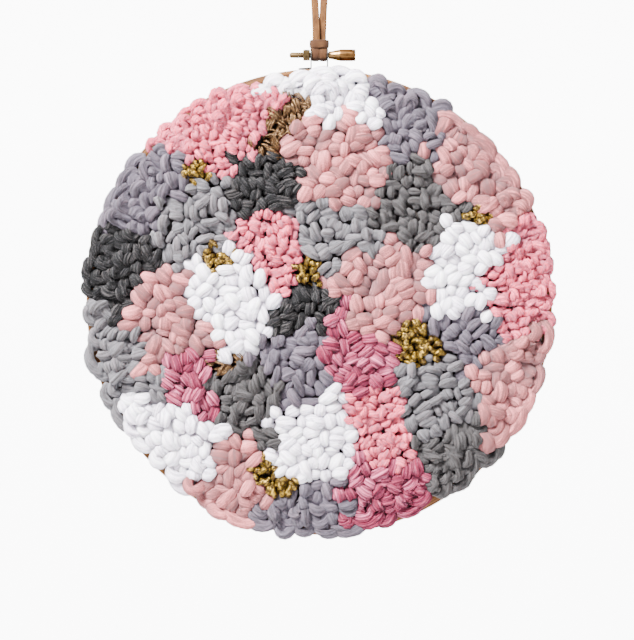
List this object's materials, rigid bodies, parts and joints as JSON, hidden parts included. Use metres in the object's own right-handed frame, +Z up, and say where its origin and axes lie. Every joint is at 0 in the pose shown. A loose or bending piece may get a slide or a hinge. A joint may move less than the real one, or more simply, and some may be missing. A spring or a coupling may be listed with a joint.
{
  "type": "looped yarn embroidery art in a round wooden hoop",
  "caption": "Round wall hanging of thick looped yarn in patches of colour, stretched in a wooden hoop with a brass tension screw and a leather hanging lace.",
  "frame": {"origin": "the point inside the top of the lace's loop where the piece hangs on its hook; the hoop's centre is 182 mm straight below it", "axes": "+Z up, the worked face looks towards -Y, +Y points into the wall, +X to the right as the viewer sees it and along the tension screw towards its knob"},
  "size_m": [0.2644, 0.0214, 0.316],
  "materials": {
    "wood": "pale bamboo, satin",
    "cloth": "plain woven cotton",
    "steel": "bright thin sheet",
    "brass": "satin, a little darkened",
    "leather": "tan suede lace",
    "yarn_blush": "plump single yarn, soft",
    "yarn_coral": "twisted yarn, soft",
    "yarn_rose": "stranded yarn, soft",
    "yarn_white": "bulky yarn, fluffy",
    "yarn_silver": "single yarn, soft",
    "yarn_grey": "plied yarn, soft",
    "yarn_lavender": "plump single yarn, soft",
    "yarn_charcoal": "heathered yarn, fuzzy",
    "yarn_gold": "metallic cord, glittering",
    "yarn_bronze": "fine metallic strands, dark gold"
  },
  "bodies": {
    "hoop": {"backing_cloth": "cloth", "ear_left": "steel", "ear_right": "steel", "inner_ring": "wood", "lace_hitch": "leather", "lace_loop": "leather", "nut": "brass", "outer_ring": "wood", "pile_blush_1": "yarn_blush", "pile_blush_2": "yarn_blush", "pile_blush_3": "yarn_blush", "pile_blush_4": "yarn_blush", "pile_blush_5": "yarn_blush", "pile_blush_6": "yarn_blush", "pile_bronze_1": "yarn_bronze", "pile_bronze_2": "yarn_bronze", "pile_charcoal_1": "yarn_charcoal", "pile_charcoal_2": "yarn_charcoal", "pile_charcoal_3": "yarn_charcoal", "pile_coral_1": "yarn_coral", "pile_coral_2": "yarn_coral", "pile_coral_3": "yarn_coral", "pile_coral_4": "yarn_coral", "pile_gold_1": "yarn_gold", "pile_gold_2": "yarn_gold", "pile_gold_3": "yarn_gold", "pile_gold_4": "yarn_gold", "pile_gold_5": "yarn_gold", "pile_gold_6": "yarn_gold", "pile_grey_1": "yarn_grey", "pile_grey_2": "yarn_grey", "pile_grey_3": "yarn_grey", "pile_lavender_1": "yarn_lavender", "pile_lavender_2": "yarn_lavender", "pile_lavender_3": "yarn_lavender", "pile_lavender_4": "yarn_lavender", "pile_lavender_5": "yarn_lavender", "pile_rose_1": "yarn_rose", "pile_rose_2": "yarn_rose", "pile_rose_3": "yarn_rose", "pile_silver_1": "yarn_silver", "pile_silver_2": "yarn_silver", "pile_silver_3": "yarn_silver", "pile_silver_4": "yarn_silver", "pile_white_1": "yarn_white", "pile_white_2": "yarn_white", "pile_white_3": "yarn_white", "pile_white_4": "yarn_white", "pile_white_5": "yarn_white"},
    "screw": {"tension_screw": "brass"}
  },
  "joints": [
    {"name": "screw_turn", "type": "hinge", "parent": "hoop", "child": "screw", "pos_m": [0, 0, -0.0439], "axis": [1, 0, 0], "range_deg": [-90, 180]}
  ]
}
